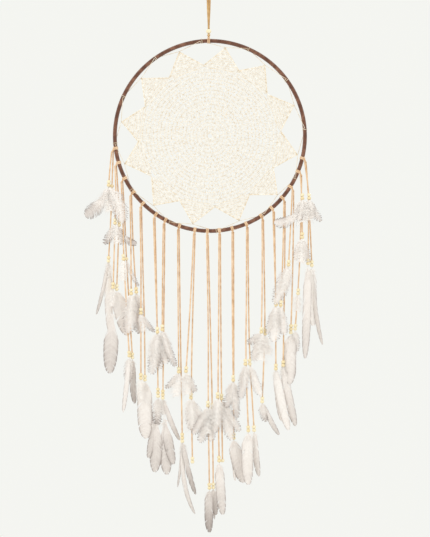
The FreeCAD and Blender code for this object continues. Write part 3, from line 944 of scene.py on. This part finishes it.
def yarn(points, radius, sides=5):
    return sweep(points, lambda i: oval(radius, radius, sides))


def stitch(a, b, depth):
    """A tall crochet stitch: a post with the wrap round its middle."""
    lift = Vector((0, depth, 0))
    points = [a, a.lerp(b, 0.35) + lift, a.lerp(b, 0.65) + lift, b]
    widths = (0.8, 1.05, 1.15, 0.8)
    return sweep(points, lambda i: oval(YARN * widths[i], YARN * widths[i]))


def chain_round(radius):
    """One closed round of chain stitches: a thread that weaves slightly in and out."""
    count = max(24, 4 * round(math.pi * radius / CHAIN))
    points = []
    for n in range(count):
        share = n / count * len(DOILY_TIPS)
        points.append(star_place(share, radius + 0.00035 * (-1) ** n, WEAVE * (-1) ** (n // 2)))
    return sweep(points, lambda i: oval(YARN * 1.25, YARN), closed=True)


def leaf_half(radius):
    """Half the width, as a share of a sector, of the closed-work leaf under each point."""
    if not LEAF_LOW < radius < LEAF_HIGH:
        return 0.0
    return 0.30 * math.sin(math.pi * ((radius - LEAF_LOW) / (LEAF_HIGH - LEAF_LOW)) ** 0.8)


def body_of_star():
    """Rounds of chain, joined by tall stitches, and the radius of the last round. The stitches
    stand close in the rosette, in a leaf under each point and in the points, and lean in open
    pairs in the net between."""
    sectors = len(DOILY_TIPS)
    radii = [FIRST_ROUND]
    while radii[-1] + ROUND_HEIGHT < DOILY_VALLEY_RADIUS - 0.002:
        radii.append(radii[-1] + ROUND_HEIGHT)
    parts = [chain_round(radius) for radius in radii]
    dice = random.Random(5)
    for low, high in zip(radii, radii[1:]):
        middle = (low + high) / 2
        close = max(2, round(2 * math.pi * middle / sectors / CLOSE_GAP))
        wide = max(1, round(2 * math.pi * middle / sectors / OPEN_GAP))
        half = leaf_half(middle)
        dense = middle < ROSETTE_RADIUS or middle > POINT_ROOT
        for k in range(sectors):
            for n in range(close):
                u = (n + 0.5 + dice.uniform(-0.22, 0.22)) / close
                if dense or min(u, 1 - u) < half:
                    parts.append(stitch(star_place(k + u, low), star_place(k + u, high),
                                        WEAVE * (-1) ** n))
            if dense:
                continue
            for n in range(wide):
                u = (n + 0.5 + dice.uniform(-0.15, 0.15)) / wide
                if min(u, 1 - u) < half:
                    continue
                for lean in (-0.42, 0.42):
                    parts.append(stitch(star_place(k + u, low),
                                        star_place(k + u + lean / wide, high),
                                        math.copysign(WEAVE, lean)))
    return parts, radii[-1]


def point_of_star(k, foot):
    """One point, from a radius out: rows of stitches between bars, and a thick border."""
    parts, rows = [], []
    while foot < DOILY_TIP_RADIUS - 0.003:
        rows.append(foot)
        foot += ROW_HEIGHT
    for low, high in zip(rows, rows[1:] + [DOILY_TIP_RADIUS]):
        reach = half_span(low)
        top_reach = half_span(high)
        left, right = point_place(k, low, -reach), point_place(k, low, reach)
        parts.append(yarn([left.lerp(right, t / 8) for t in range(9)], YARN * 1.2))
        count = max(1, round(2 * reach / POINT_GAP))
        for n in range(count + 1):
            x = -reach + 2 * reach * n / count
            upper = max(-top_reach, min(top_reach, x))
            parts.append(stitch(point_place(k, low, x), point_place(k, high, upper),
                                WEAVE * (-1) ** n))
    tip = star_place(k, DOILY_TIP_RADIUS)
    for side in (-1, 1):
        valley = star_place(k + side * 0.5, DOILY_VALLEY_RADIUS)
        border = [tip.lerp(valley, t / 10) + Vector((0, WEAVE * (-1) ** t, 0))
                  for t in range(11)]
        parts.append(yarn(border, YARN * 1.9, 6))
    return parts


def crochet_star():
    """The star, as one piece."""
    parts, outermost = body_of_star()
    for k in range(len(DOILY_TIPS)):
        parts += point_of_star(k, outermost)
    piece = add_mesh("crochet_star", parts, "hoop", DOILY_COTTON)
    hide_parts("lace_doily")


def half_span(radius):
    """Half the width of a point, measured straight across it, at a height along its axis."""
    share = (DOILY_TIP_RADIUS - radius) / (DOILY_TIP_RADIUS - POINT_FOOT)
    return POINT_HALF_WIDTH * max(0.0, min(1.0, share))


def point_place(k, radius, across):
    """A place in one point of the star: along its axis, and straight across it."""
    outward, aside = hoop_axes(DOILY_TIPS[k] - 180)
    return HOOP_CENTRE + outward * radius + aside * across


LASH_TURNS = 1.5
LASH_STEPS = 36
LASH_SPREAD = 0.0042
LASH_THREAD = 0.00048


def lashing():
    """The cotton thread that zigzags between the hoop and the star's points."""
    parts = []
    radius = HOOP_TUBE / 2 + HITCH_OFF_TUBE
    for k in range(len(DOILY_TIPS)):
        angle = tip_angle(k + 0.5)
        wound = [on_tube(angle, math.pi / 2 + 2 * math.pi * LASH_TURNS * n / LASH_STEPS, radius,
                         LASH_SPREAD * (n / LASH_STEPS - 0.5)) for n in range(LASH_STEPS + 1)]
        before = star_place(k, DOILY_TIP_RADIUS + 0.0009)
        after = star_place(k + 1, DOILY_TIP_RADIUS + 0.0009)
        if (wound[0] - before).length > (wound[-1] - before).length:
            wound.reverse()
        line = [before.lerp(wound[0], t / 6) for t in range(6)] + wound
        line += [wound[-1].lerp(after, t / 6) for t in range(1, 7)]
        parts.append(yarn(line, LASH_THREAD, 6))
        knot = [star_place(k, DOILY_TIP_RADIUS - 0.001)
                + Vector((0.0011 * math.cos(b), 0.0009 * math.sin(b), 0.0009 * math.sin(2 * b)))
                for b in (2 * math.pi * n / 14 for n in range(14))]
        parts.append(sweep(knot, lambda i: oval(0.0005, 0.0005), closed=True))
    piece = add_mesh("lashing_cotton_thread", parts, "hoop", LASHING_COTTON)
    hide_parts("lashing_thread")


# ---- Stage, lights and camera ----
VIEW_HEIGHT = 1.106
VIEW_CENTRE = Vector((0.013, 0, -0.577))
CAMERA_DISTANCE = 3.2
SENSOR = 24.0
WALL_COLOUR = (0.908, 0.914, 0.878, 1)
FLOOR_COLOUR = (0.8, 0.8, 0.78, 1)
FLOOR_RADIUS = 0.6
FLOOR_SIDES = 64
FLOOR_GAP = 0.15  # from the object's lowest point down to the floor
LIGHTS = (
    # name, place, size, power
    ("key", (-1.6, -2.2, 0.6), 1.6, 22),
    ("fill", (1.8, -1.6, -0.4), 1.8, 8),
    ("back", (0.4, 2.2, 0.4), 1.6, 12),
)


def studio():
    """A pale floor under the object, soft lights, and the camera straight in front."""
    scene = bpy.context.scene
    scene.view_settings.view_transform = "Standard"
    world = bpy.data.worlds.new("studio")
    scene.world = world
    world.use_nodes = True
    background = world.node_tree.nodes["Background"]
    background.inputs["Color"].default_value = WALL_COLOUR
    background.inputs["Strength"].default_value = 1.0

    verts = [(x, y, 0) for x, y in oval(FLOOR_RADIUS, FLOOR_RADIUS, FLOOR_SIDES)]
    mesh = bpy.data.meshes.new("floor")
    mesh.from_pydata(verts, [], [tuple(range(FLOOR_SIDES))])
    floor = bpy.data.objects.new("floor", mesh)
    floor.location = (0, 0, cad_low.z - FLOOR_GAP)
    scene.collection.objects.link(floor)
    pale, _, shader = new_material("floor_pale", 0.9)
    shader.inputs["Base Color"].default_value = FLOOR_COLOUR
    floor.data.materials.append(pale)

    for name, place, size, power in LIGHTS:
        light = bpy.data.lights.new(name, "AREA")
        light.size = size
        light.energy = power
        lamp = bpy.data.objects.new(name, light)
        lamp.location = place
        aim = VIEW_CENTRE - Vector(place)
        lamp.rotation_mode = "QUATERNION"
        lamp.rotation_quaternion = aim.to_track_quat("-Z", "Y")
        scene.collection.objects.link(lamp)

    data = bpy.data.cameras.new("camera")
    data.sensor_fit = "VERTICAL"
    data.sensor_height = SENSOR
    data.sensor_width = SENSOR
    data.lens = SENSOR * CAMERA_DISTANCE / VIEW_HEIGHT
    camera = bpy.data.objects.new("camera", data)
    camera.location = VIEW_CENTRE - Vector((0, CAMERA_DISTANCE, 0))
    camera.rotation_euler = (math.pi / 2, 0, 0)
    scene.collection.objects.link(camera)
    scene.camera = camera


studio()
hanging_loop()
ring_wrap()
hitches()
crochet_star()
lashing()
for slot in bpy.data.objects["ring_core"].material_slots:
    slot.material = RING_STEEL
for number, (angle, *tails) in enumerate(STRANDS, 1):
    routes = [tail_route(angle, tail, side) for side, tail in enumerate(tails)]
    for side, tail in enumerate(tails):
        lace_tail(number, side, routes[side], tail[-1][2])
    bead_stacks(number, routes, tails)
    feathers_of(number, routes, tails)
